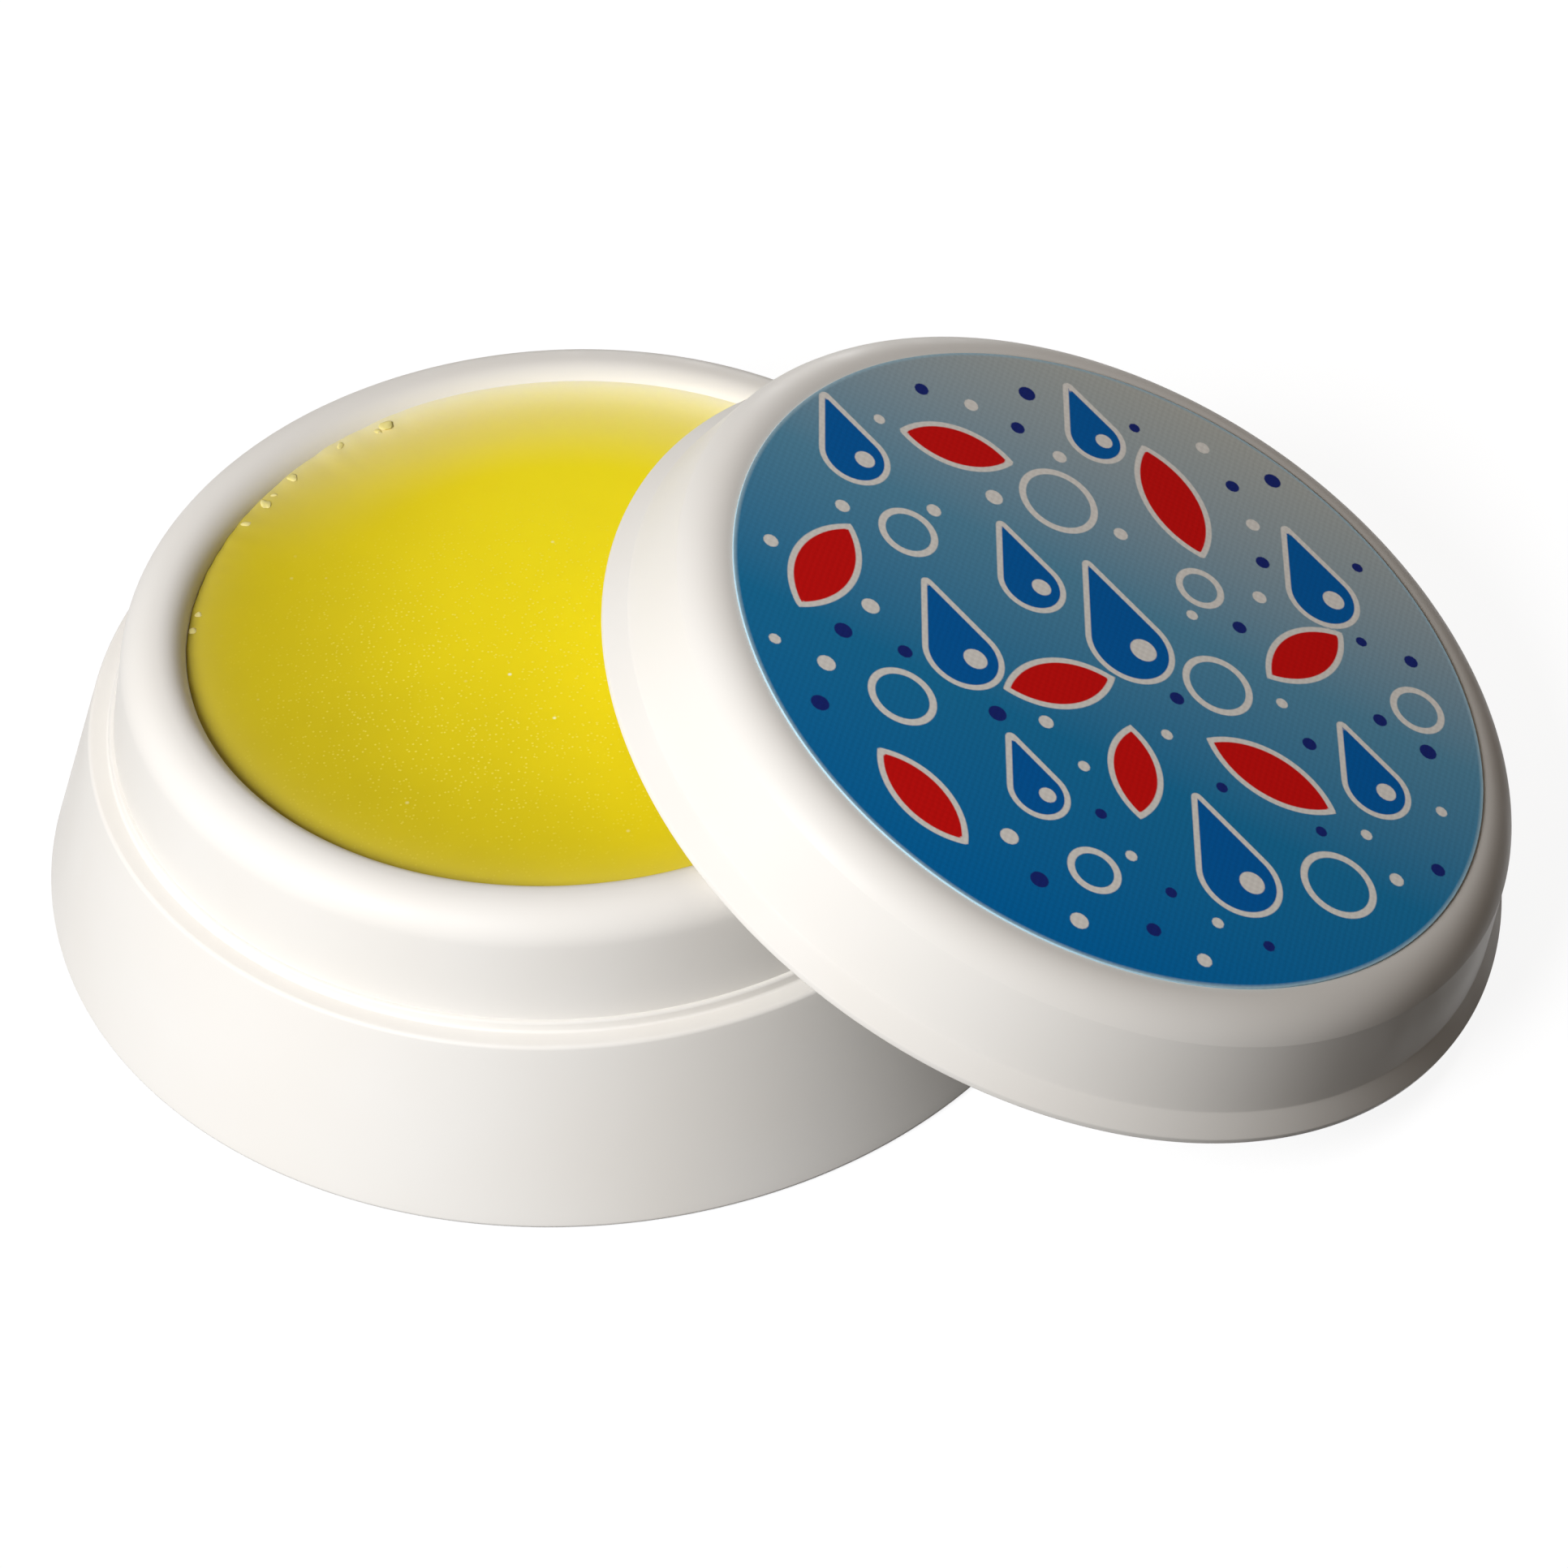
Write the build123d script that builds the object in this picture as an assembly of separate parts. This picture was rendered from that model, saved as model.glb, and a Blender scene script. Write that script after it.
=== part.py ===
"""Finger moistener: a round dish of moistening gel, with its lid taken off and leaning on the rim.

Millimetres, +Z up. The origin is on the dish's axis, in the plane that the foot stands on.
Every round piece is a section in radius and height, turned about its own axis.
"""
from build123d import *
from math import cos, hypot, inf, radians, sin, sqrt, tan
import os

# Dish moulding
FOOT_RADIUS = 42.5
LEDGE_RADIUS = 37.75
LEDGE_HEIGHT = 14.9
LEDGE_EDGE_ROUND = 0.4
NECK_RADIUS = 35.85
NECK_DRAFT = 10.9
NECK_STEP = 0.35
NECK_STEP_HEIGHT = 0.8
NECK_COVE = 0.25
RIM_HEIGHT = 24.45
RIM_WIDTH = 4.75
RIM_CREST_FLAT = 0.05
SHOULDER_ROUND = 3.2
WELL_DEPTH = 9.2
WELL_COVE = 1.5
DISH_WALL = 1.4
FOOT_EDGE_ROUND = 0.3

# Gel cake, cast in the dish's well
GEL_SIDE_GAP = 0.2
GEL_BELOW_RIM = 1.75
GEL_CROWN = 0.5
GEL_EDGE_ROUND = 0.9

# Lid moulding, in its own frame with the lip's underside at height 0
LID_HEIGHT = 10.15
LID_TOP_ROUND = 3.9
LID_TOP_THICKNESS = 1.55
LID_FOOT_WALL = 1.9
LID_DRAFT = 16.5
LID_WALL_TOP = 8.0
LID_EDGE_DRAFT = 28.0
LID_CREASE_ROUND = 0.15
LID_INNER_ROUND = 1.6
LID_CLEARANCE = 0.12
LIP_RADIUS = 38.4
LIP_HEIGHT = 2.2
LIP_EDGE = 0.6
LIP_ROUND = 0.25
LIP_COVE = 0.5
MOUTH_ROUND = 0.3

# Label on the lid
LABEL_THICKNESS = 0.15
LABEL_MARGIN = 0.2

# How the lid leans: its lip stands on the table and crosses the dish's rim
LEAN_TILT = 23.7
LEAN_HEADING = -14.1
LEAN_SIDE = 0.7
LEAN_GAP = 0.3
LIP_RINGS = 6
LIP_STEPS = 360
HALVINGS = 16

# Sizes that follow from those above
neck_slope = tan(radians(NECK_DRAFT))
lid_slope = tan(radians(LID_DRAFT))


def neck_radius(height):
    """Outer radius of the tapered neck at a height over the table."""
    return NECK_RADIUS - neck_slope * (height - LEDGE_HEIGHT)


rim_corner_radius = neck_radius(RIM_HEIGHT)
well_radius = rim_corner_radius - RIM_WIDTH
shoulder_reach = SHOULDER_ROUND * tan(radians(90 - NECK_DRAFT) / 2)
rim_inner_round = RIM_WIDTH - shoulder_reach - RIM_CREST_FLAT
crest_radius = rim_corner_radius - shoulder_reach
well_floor = RIM_HEIGHT - WELL_DEPTH

gel_radius = well_radius - GEL_SIDE_GAP
gel_edge_height = RIM_HEIGHT - GEL_BELOW_RIM

lid_depth = LID_HEIGHT - LID_TOP_THICKNESS
closed_lip_height = RIM_HEIGHT - lid_depth
mouth_radius = neck_radius(closed_lip_height) + LID_CLEARANCE
lid_foot_radius = mouth_radius + LID_FOOT_WALL
lid_crease_radius = lid_foot_radius - lid_slope * LID_WALL_TOP
lid_corner_radius = lid_crease_radius - tan(radians(LID_EDGE_DRAFT)) * (LID_HEIGHT - LID_WALL_TOP)
label_radius = lid_corner_radius - LID_TOP_ROUND * tan(radians(90 - LID_EDGE_DRAFT) / 2) - LABEL_MARGIN

lean_tilt = radians(LEAN_TILT)
lean_lift = (LIP_RADIUS - LIP_ROUND) * sin(lean_tilt) + LIP_ROUND * (1 - cos(lean_tilt))


def turned(corners):
    """Solid turned about Z from a section's corners, each (radius, height, rounding)."""
    points = [(radius, 0, height) for radius, height, _ in corners]
    roundings = [rounding for _, _, rounding in corners]
    section = make_face(FilletPolyline(*points, radius=roundings, close=True))
    return revolve(section, Axis.Z)


def dish_moulding():
    """Skirt, ledge, neck, rim and well in one wall, open underneath."""
    ledge_underside = LEDGE_HEIGHT - DISH_WALL
    skirt_slope = (FOOT_RADIUS - LEDGE_RADIUS) / LEDGE_HEIGHT
    skirt_inside_top = LEDGE_RADIUS + skirt_slope * DISH_WALL - DISH_WALL
    step_top = LEDGE_HEIGHT + NECK_STEP_HEIGHT
    groove_top = RIM_HEIGHT - DISH_WALL
    return turned([
        (FOOT_RADIUS, 0, FOOT_EDGE_ROUND),
        (LEDGE_RADIUS, LEDGE_HEIGHT, LEDGE_EDGE_ROUND),
        (NECK_RADIUS + NECK_STEP, LEDGE_HEIGHT, NECK_COVE),
        (neck_radius(step_top) + NECK_STEP, step_top, NECK_COVE),
        (neck_radius(step_top), step_top, 0),
        (rim_corner_radius, RIM_HEIGHT, SHOULDER_ROUND),
        (well_radius, RIM_HEIGHT, rim_inner_round),
        (well_radius, well_floor, WELL_COVE),
        (0, well_floor, 0),
        (0, well_floor - DISH_WALL, 0),
        (well_radius + DISH_WALL, well_floor - DISH_WALL, 0),
        (well_radius + DISH_WALL, groove_top, 0),
        (neck_radius(groove_top) - DISH_WALL, groove_top, 0),
        (neck_radius(ledge_underside) - DISH_WALL, ledge_underside, 0),
        (skirt_inside_top, ledge_underside, 0),
        (FOOT_RADIUS - DISH_WALL, 0, 0),
    ])


def gel_cake():
    """Low round cake of gel that fills the well, with a soft edge and a slight crown."""
    crown_height = gel_edge_height + GEL_CROWN
    crown_arc = (gel_radius**2 + GEL_CROWN**2) / (2 * GEL_CROWN)
    halfway = gel_radius / 2
    halfway_height = crown_height - crown_arc + sqrt(crown_arc**2 - halfway**2)
    foot_radius = gel_radius - WELL_COVE
    sides = Polyline(
        (0, 0, crown_height),
        (0, 0, well_floor),
        (foot_radius, 0, well_floor),
        (gel_radius, 0, well_floor + WELL_COVE),
        (gel_radius, 0, gel_edge_height),
    )
    crown = ThreePointArc(
        (gel_radius, 0, gel_edge_height),
        (halfway, 0, halfway_height),
        (0, 0, crown_height),
    )
    cake = revolve(make_face(sides + crown), Axis.Z)
    rings = cake.edges().filter_by(lambda edge: edge.is_closed)
    return fillet(rings.sort_by(Axis.Z)[-1], GEL_EDGE_ROUND)


def lid_moulding():
    """Shallow lid whose rounded top edge meets a tapered wall in a line, with a flared lip, in its own frame."""
    return turned([
        (mouth_radius, 0, MOUTH_ROUND),
        (LIP_RADIUS, 0, LIP_ROUND),
        (LIP_RADIUS, LIP_EDGE, LIP_ROUND),
        (lid_foot_radius - lid_slope * LIP_HEIGHT, LIP_HEIGHT, LIP_COVE),
        (lid_crease_radius, LID_WALL_TOP, LID_CREASE_ROUND),
        (lid_corner_radius, LID_HEIGHT, LID_TOP_ROUND),
        (0, LID_HEIGHT, 0),
        (0, lid_depth, 0),
        (mouth_radius - neck_slope * lid_depth, lid_depth, LID_INNER_ROUND),
    ])


def lid_label():
    """Thin round label on the lid's flat top, in the lid's frame."""
    disc = Cylinder(label_radius, LABEL_THICKNESS, align=(Align.CENTER, Align.CENTER, Align.MIN))
    return Pos(0, 0, LID_HEIGHT) * disc


def leaning_plane(distance):
    """Plane of the leaning lid's lip, its centre at this distance from the dish's axis."""
    heading = Vector(cos(radians(LEAN_HEADING)), sin(radians(LEAN_HEADING)), 0)
    sideways = Vector(-heading.Y, heading.X, 0)
    centre = heading * distance + sideways * LEAN_SIDE + Vector(0, 0, lean_lift)
    axis = heading * sin(lean_tilt) + Vector(0, 0, cos(lean_tilt))
    return Plane(origin=centre, x_dir=sideways, z_dir=axis)


def rim_surface(radius):
    """Height of the rounded rim's top at a radius inside the neck."""
    outward = radius - crest_radius
    rounding = SHOULDER_ROUND if outward > 0 else rim_inner_round
    return RIM_HEIGHT - rounding + sqrt(max(rounding**2 - outward**2, 0))


def lip_over_rim(distance):
    """Least height of the lip's underside over the rim, for a lid leaning at this distance."""
    least = inf
    for ring in range(LIP_RINGS + 1):
        radius = mouth_radius + (LIP_RADIUS - mouth_radius) * ring / LIP_RINGS
        for step in range(LIP_STEPS):
            turn = radians(360 * step / LIP_STEPS)
            along = distance - radius * cos(turn) * cos(lean_tilt)
            across = LEAN_SIDE + radius * sin(turn)
            reach = hypot(along, across)
            if well_radius < reach < crest_radius + SHOULDER_ROUND:
                height = lean_lift + radius * cos(turn) * sin(lean_tilt)
                least = min(least, height - rim_surface(reach))
    return least


def lean_distance():
    """Distance at which the lid, slid in from outside, all but touches the rim."""
    near = 0.0
    far = FOOT_RADIUS + LIP_RADIUS
    for _ in range(HALVINGS):
        middle = (near + far) / 2
        if lip_over_rim(middle) > LEAN_GAP:
            far = middle
        else:
            near = middle
    return far


leaning = leaning_plane(lean_distance()).location
nodes = {
    "dish_moulding": dish_moulding(),
    "gel_cake": gel_cake(),
    "lid_moulding": leaning * lid_moulding(),
    "lid_label": leaning * lid_label(),
}

os.makedirs("parts", exist_ok=True)
for name, solid in nodes.items():
    export_step(solid, f"parts/{name}.step")
    print(name, round(solid.volume, 1), "mm3")
print("lid leans at", leaning.position, "label radius", round(label_radius, 2))
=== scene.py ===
"""Looks of the finger moistener: a dish of yellow gel, with its labelled lid off and leaning on the rim.

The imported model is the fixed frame. Every new piece is a turned surface in the same frame, with its place in its
mesh. Sizes are in millimetres and become metres where a mesh, lamp or camera is made.
"""

import logging
import math
from dataclasses import dataclass
from enum import Enum
from typing import Any

import bpy
import numpy as np
from bpy.types import Material, Node, NodeSocket, NodeTree, Object
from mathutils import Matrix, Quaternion, Vector


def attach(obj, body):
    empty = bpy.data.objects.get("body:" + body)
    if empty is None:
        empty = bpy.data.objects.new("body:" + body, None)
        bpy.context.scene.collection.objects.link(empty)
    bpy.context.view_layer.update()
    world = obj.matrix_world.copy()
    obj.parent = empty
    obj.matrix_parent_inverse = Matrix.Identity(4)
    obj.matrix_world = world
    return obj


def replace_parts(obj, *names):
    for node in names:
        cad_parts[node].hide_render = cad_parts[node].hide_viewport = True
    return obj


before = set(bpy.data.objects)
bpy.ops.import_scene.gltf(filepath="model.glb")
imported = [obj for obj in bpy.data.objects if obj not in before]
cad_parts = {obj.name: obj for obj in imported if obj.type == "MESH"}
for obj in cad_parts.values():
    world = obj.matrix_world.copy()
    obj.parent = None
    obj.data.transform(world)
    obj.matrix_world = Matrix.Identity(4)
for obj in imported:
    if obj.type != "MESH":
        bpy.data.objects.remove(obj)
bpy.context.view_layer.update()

LOG = logging.getLogger("finger_moistener")
MM = 0.001
FULL_TURN = 2.0 * math.pi
SECTORS = 320
ARC_STEPS = 14
LONGEST_STEP = 0.8
SHARP_ANGLE = math.radians(40.0)

# Places of the sockets that share a name on Blender's Mix node, when it mixes colours
MIX_FACTOR, MIX_FIRST, MIX_SECOND, MIX_COLOUR = 0, 6, 7, 2

# How far Blender's Wave texture turns, in radians, over one unit of its coordinates at a scale of 1
WAVE_TURN = 20.0


class Body(Enum):
    """Bodies of the frame that pieces ride on."""

    DISH = "dish"
    LID = "lid"


class Ink(Enum):
    """Inks of the label's print, by the attribute that holds each one's distance to its nearest edge."""

    WHITE = "white_ink_mm"
    NAVY = "navy_ink_mm"
    DEEP_BLUE = "deep_blue_ink_mm"
    RED = "red_ink_mm"


class Figure(Enum):
    """Figures of the label's print, by their turn on the scatter that they share."""

    DROP = 0
    PETAL = 1
    BUBBLE = 2


def linear(code: str) -> tuple[float, float, float, float]:
    """Turn an sRGB hex colour to the linear colour that a shader takes, by the standard's own curve.

    Args:
        code: Colour as "#RRGGBB".

    Returns:
        Linear red, green, blue and an alpha of 1.
    """
    srgb = np.frombuffer(bytes.fromhex(code.lstrip("#")), dtype=np.uint8) / 255.0
    light = np.where(srgb <= 0.04045, srgb / 12.92, ((srgb + 0.055) / 1.055) ** 2.4)
    return (*light.tolist(), 1.0)


def per_metre(size_mm: float) -> float:
    """Texture scale, on coordinates in metres, that gives features of this size."""
    return 1.0 / (size_mm * MM)


def add_node(tree: NodeTree, kind: str, inputs: dict | None = None, **settings: Any) -> Node:
    """Add one node, with its settings made and its inputs set or linked.

    Args:
        tree: Tree that gets the node.
        kind: Blender's name for the type of node.
        inputs: Value, or output socket to link from, for each input's name or place.
        settings: Properties of the node itself.

    Returns:
        The new node.
    """
    node = tree.nodes.new(kind)
    for name, value in settings.items():
        setattr(node, name, value)
    for name, value in (inputs or {}).items():
        if isinstance(value, NodeSocket):
            tree.links.new(value, node.inputs[name])
        else:
            node.inputs[name].default_value = value
    return node


def new_material(name: str) -> tuple[Material, NodeTree]:
    """Make an empty node material.

    Args:
        name: The real material's name.

    Returns:
        The material and its node tree.
    """
    material = bpy.data.materials.new(name)
    material.use_nodes = True
    material.node_tree.nodes.clear()
    return material, material.node_tree


def smooth_step(values: np.ndarray, low: float, high: float) -> np.ndarray:
    """Ramp from 0 at low to 1 at high, level at both ends."""
    share = np.clip((values - low) / (high - low), 0.0, 1.0)
    return share * share * (3.0 - 2.0 * share)


@dataclass(frozen=True)
class Corner:
    """Corner of a turned section: radius and height in millimetres, and the rounding there."""

    radius: float
    height: float
    rounding: float = 0.0


def rounded_outline(corners: list[Corner]) -> np.ndarray:
    """Outline through the corners, with its arcs and long sides divided.

    An arc touches both sides of its corner at rounding / tan(half the angle between them). Its centre lies on
    the bisector, at rounding / sin(half the angle), and its points turn evenly from one side to the other.

    Args:
        corners: Corners from the underside's centre outwards and up.

    Returns:
        Radius and height of each point, one row a point.
    """
    places = np.array([(corner.radius, corner.height) for corner in corners])
    runs = [places[:1]]
    for before, place, after, corner in zip(places, places[1:], places[2:], corners[1:]):
        if corner.rounding == 0.0:
            runs.append(place[None])
            continue
        back = (before - place) / np.linalg.norm(before - place)
        ahead = (after - place) / np.linalg.norm(after - place)
        half = math.acos(np.clip(back @ ahead, -1.0, 1.0)) / 2.0
        middle = (back + ahead) / np.linalg.norm(back + ahead)
        centre = place + middle * corner.rounding / math.sin(half)
        start = place + back * corner.rounding / math.tan(half) - centre
        swing = (math.pi - 2.0 * half) * np.sign(back[1] * ahead[0] - back[0] * ahead[1])
        turn = np.linspace(0.0, swing, ARC_STEPS + 1)[:, None]
        runs.append(centre + np.cos(turn) * start + np.sin(turn) * np.array([-start[1], start[0]]))
    runs.append(places[-1:])
    return divided(np.concatenate(runs))


def divided(points: np.ndarray) -> np.ndarray:
    """Divide the sides of a line evenly, so that none is longer than the longest step.

    Args:
        points: Points of the line, one row a point.

    Returns:
        The same line with more points.
    """
    sides = np.diff(points, axis=0)
    counts = np.maximum(np.ceil(np.linalg.norm(sides, axis=1) / LONGEST_STEP).astype(int), 1)
    side = np.repeat(np.arange(len(sides)), counts)
    share = (np.arange(counts.sum()) - np.repeat(np.cumsum(counts) - counts, counts)) / counts[side]
    return np.concatenate([points[side] + share[:, None] * sides[side], points[-1:]])


def topped(sides: np.ndarray, inward: np.ndarray) -> np.ndarray:
    """Outline that goes on from the end of its sides, level, through each of the radii inwards."""
    return np.concatenate([sides, np.column_stack([inward, np.full(len(inward), sides[-1, 1])])])


def turned(outline: np.ndarray, sectors: int = SECTORS) -> np.ndarray:
    """Grid of an outline turned about the axis: (r cos a, r sin a, z) for each point and each angle a.

    Args:
        outline: Radius and height of each point.
        sectors: Number of angles in the full turn.

    Returns:
        Points by row of the outline, angle and coordinate.
    """
    angle = np.arange(sectors) * (FULL_TURN / sectors)
    radius, height = outline[:, :1], outline[:, 1:]
    return np.stack([radius * np.cos(angle), radius * np.sin(angle), height + 0.0 * angle], axis=-1)


def skinned(grid: np.ndarray) -> tuple[np.ndarray, list[list[int]]]:
    """Close a turned grid whose first and last rows lie on the axis.

    Each of those rows becomes one point, joined to its neighbours by triangles, and four-sided faces join the
    other rows. Faces point outwards when the outline runs from the underside to the top.

    Args:
        grid: Points by row, angle and coordinate.

    Returns:
        Points, one row a point, and the faces.
    """
    rows, sectors = grid.shape[:2]
    points = np.concatenate([grid[:1, 0], grid[1:-1].reshape(-1, 3), grid[-1:, 0]])
    ring = 1 + np.arange((rows - 2) * sectors).reshape(rows - 2, sectors)
    ahead = np.roll(ring, -1, axis=1)
    quads = np.stack([ring[:-1], ahead[:-1], ahead[1:], ring[1:]], axis=-1).reshape(-1, 4)
    first = np.stack([np.zeros(sectors, int), ahead[0], ring[0]], axis=-1)
    last = np.stack([ring[-1], ahead[-1], np.full(sectors, len(points) - 1)], axis=-1)
    return points, [*first.tolist(), *quads.tolist(), *last.tolist()]


@dataclass(frozen=True)
class Stand:
    """Where a turned piece stands: the point at its height 0, and the directions of its own x, y and z."""

    origin: np.ndarray
    axes: np.ndarray

    def place(self, points: np.ndarray) -> np.ndarray:
        """Points of a piece, from its own frame to the row's."""
        return self.origin + points @ self.axes

    def raised(self, height: float) -> "Stand":
        """The same stand, moved up its own axis."""
        return Stand(self.origin + self.axes[2] * height, self.axes)


def add_piece(
    name: str, points: np.ndarray, faces: list[list[int]], material: Material, body: Body
) -> Object:
    """Make a mesh piece that rides on a body and has the given material.

    Args:
        name: The piece's name.
        points: Points in the row's frame, in millimetres.
        faces: Faces as lists of point numbers.
        material: The piece's material.
        body: Body that it rides on.

    Returns:
        The new object.
    """
    mesh = bpy.data.meshes.new(name)
    mesh.from_pydata(points * MM, [], faces)
    mesh.shade_smooth()
    mesh.set_sharp_from_angle(angle=SHARP_ANGLE)
    mesh.materials.append(material)
    piece = bpy.data.objects.new(name, mesh)
    bpy.context.scene.collection.objects.link(piece)
    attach(piece, body.value)
    LOG.info("piece %s: %d points, %d faces, on body %s", name, len(mesh.vertices), len(mesh.polygons), body.value)
    return piece


def add_attribute(piece: Object, name: str, values: np.ndarray) -> None:
    """Give a piece's points a number each, or a vector each, that its material reads.

    Args:
        piece: Mesh piece.
        name: The attribute's name.
        values: One number, or one row of three, a point.
    """
    kind, target = ("FLOAT", "value") if values.ndim == 1 else ("FLOAT_VECTOR", "vector")
    attribute = piece.data.attributes.new(name, kind, "POINT")
    attribute.data.foreach_set(target, np.ascontiguousarray(values, np.float32).ravel())


@dataclass(frozen=True)
class Unevenness:
    """Random variation over a surface: the size of its patches, and how many finer layers it has."""

    size_mm: float
    detail: float

    def over(self, place: NodeSocket) -> dict[str, Any]:
        """Inputs of a noise that varies like this over coordinates in metres."""
        return {"Vector": place, "Scale": per_metre(self.size_mm), "Detail": self.detail}


@dataclass(frozen=True)
class Dots:
    """Round dots in some cells of a random lattice: the cells' size, a dot's width, and the share that hold one.

    A dot is full inside the core, a part of its radius, and a cell's random number decides, with a little blur,
    whether it holds one.
    """

    spacing_mm: float
    width_mm: float
    share: float
    core: float = 0.4
    blur: float = 0.1

    def strew(self, tree: NodeTree, place: NodeSocket) -> NodeSocket:
        """Strew the dots over a material.

        Args:
            tree: The material's tree.
            place: Coordinates in metres.

        Returns:
            Factor that is 1 in the middle of a dot and 0 outside it.
        """
        cells = add_node(tree, "ShaderNodeTexVoronoi", {"Vector": place, "Scale": per_metre(self.spacing_mm)})
        radius = 0.5 * self.width_mm / self.spacing_mm
        dot = add_node(
            tree,
            "ShaderNodeMapRange",
            {"Value": cells.outputs["Distance"], "From Min": radius, "From Max": self.core * radius},
        )
        bar = 1.0 - self.share
        chosen = add_node(
            tree,
            "ShaderNodeMapRange",
            {"Value": cells.outputs["Color"], "From Min": bar - self.blur, "From Max": bar + self.blur},
        )
        factors = {0: dot.outputs["Result"], 1: chosen.outputs["Result"]}
        return add_node(tree, "ShaderNodeMath", factors, operation="MULTIPLY").outputs["Value"]


@dataclass(frozen=True)
class Finish:
    """What every finish has: its material's name, refraction and gloss, and the depth and strength of its relief."""

    name: str
    ior: float
    specular_level: float
    relief_depth_mm: float
    relief_strength: float

    def layered(self, tree: NodeTree, ground: Any, layers: list[tuple[NodeSocket, str]]) -> NodeSocket:
        """Lay colours over a ground colour, each as thick as its share says at every point.

        Args:
            tree: The material's tree.
            ground: Linear colour, or the socket that gives it.
            layers: Share from 0 to 1, and hex colour, of each layer from the lowest up.

        Returns:
            The colour that shows.
        """
        for share, code in layers:
            inputs = {MIX_FACTOR: share, MIX_FIRST: ground, MIX_SECOND: linear(code)}
            ground = add_node(tree, "ShaderNodeMix", inputs, data_type="RGBA").outputs[MIX_COLOUR]
        return ground

    def complete(self, tree: NodeTree, relief: NodeSocket, inputs: dict[str, Any]) -> None:
        """Complete a material with its relief, its shader and its output.

        Args:
            tree: The material's tree.
            relief: Height of the relief, from 0 to 1.
            inputs: The shader's inputs, apart from those that every finish has.
        """
        bump = add_node(
            tree,
            "ShaderNodeBump",
            {"Height": relief, "Strength": self.relief_strength, "Distance": self.relief_depth_mm * MM},
        )
        common = {"Normal": bump.outputs["Normal"], "IOR": self.ior, "Specular IOR Level": self.specular_level}
        shader = add_node(tree, "ShaderNodeBsdfPrincipled", common | inputs)
        add_node(tree, "ShaderNodeOutputMaterial", {"Surface": shader.outputs["BSDF"]})


@dataclass(frozen=True)
class MouldedPolystyrene(Finish):
    """White polystyrene as it leaves a polished mould: warm, satin, with a faint waviness and a few specks."""

    ior: float = 1.59
    specular_level: float = 0.08
    relief_depth_mm: float = 0.012
    relief_strength: float = 0.5
    colour: str = "#E9E7E2"
    mellow_colour: str = "#E4DFD6"
    speck_colour: str = "#B9AF9E"
    smooth_roughness: float = 0.34
    handled_roughness: float = 0.5
    cloud: Unevenness = Unevenness(22.0, 3.0)
    handling: Unevenness = Unevenness(7.0, 6.0)
    handling_range: tuple[float, float] = (0.3, 0.7)
    ripple: Unevenness = Unevenness(2.4, 2.0)
    speck_spacing_mm: float = 9.0
    speck_radius_mm: float = 0.16
    speck_core: float = 0.5

    def material(self) -> Material:
        """Build the material.

        Returns:
            Material with a slow warm cloud in its white, uneven gloss from handling, a shallow waviness that
            breaks up the highlights, and sparse specks.
        """
        material, tree = new_material(self.name)
        place = add_node(tree, "ShaderNodeTexCoord").outputs["Object"]
        cloud, handling, ripple = (
            add_node(tree, "ShaderNodeTexNoise", pattern.over(place)).outputs["Fac"]
            for pattern in (self.cloud, self.handling, self.ripple)
        )
        cells = add_node(tree, "ShaderNodeTexVoronoi", {"Vector": place, "Scale": per_metre(self.speck_spacing_mm)})
        radius = self.speck_radius_mm / self.speck_spacing_mm
        speck = add_node(
            tree,
            "ShaderNodeMapRange",
            {"Value": cells.outputs["Distance"], "From Min": radius, "From Max": self.speck_core * radius},
        )
        layers = [(cloud, self.mellow_colour), (speck.outputs["Result"], self.speck_colour)]
        colour = self.layered(tree, linear(self.colour), layers)
        least, most = self.handling_range
        roughness = add_node(
            tree,
            "ShaderNodeMapRange",
            {
                "Value": handling,
                "From Min": least,
                "From Max": most,
                "To Min": self.smooth_roughness,
                "To Max": self.handled_roughness,
            },
        )
        self.complete(tree, ripple, {"Base Color": colour, "Roughness": roughness.outputs["Result"]})
        return material


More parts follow.
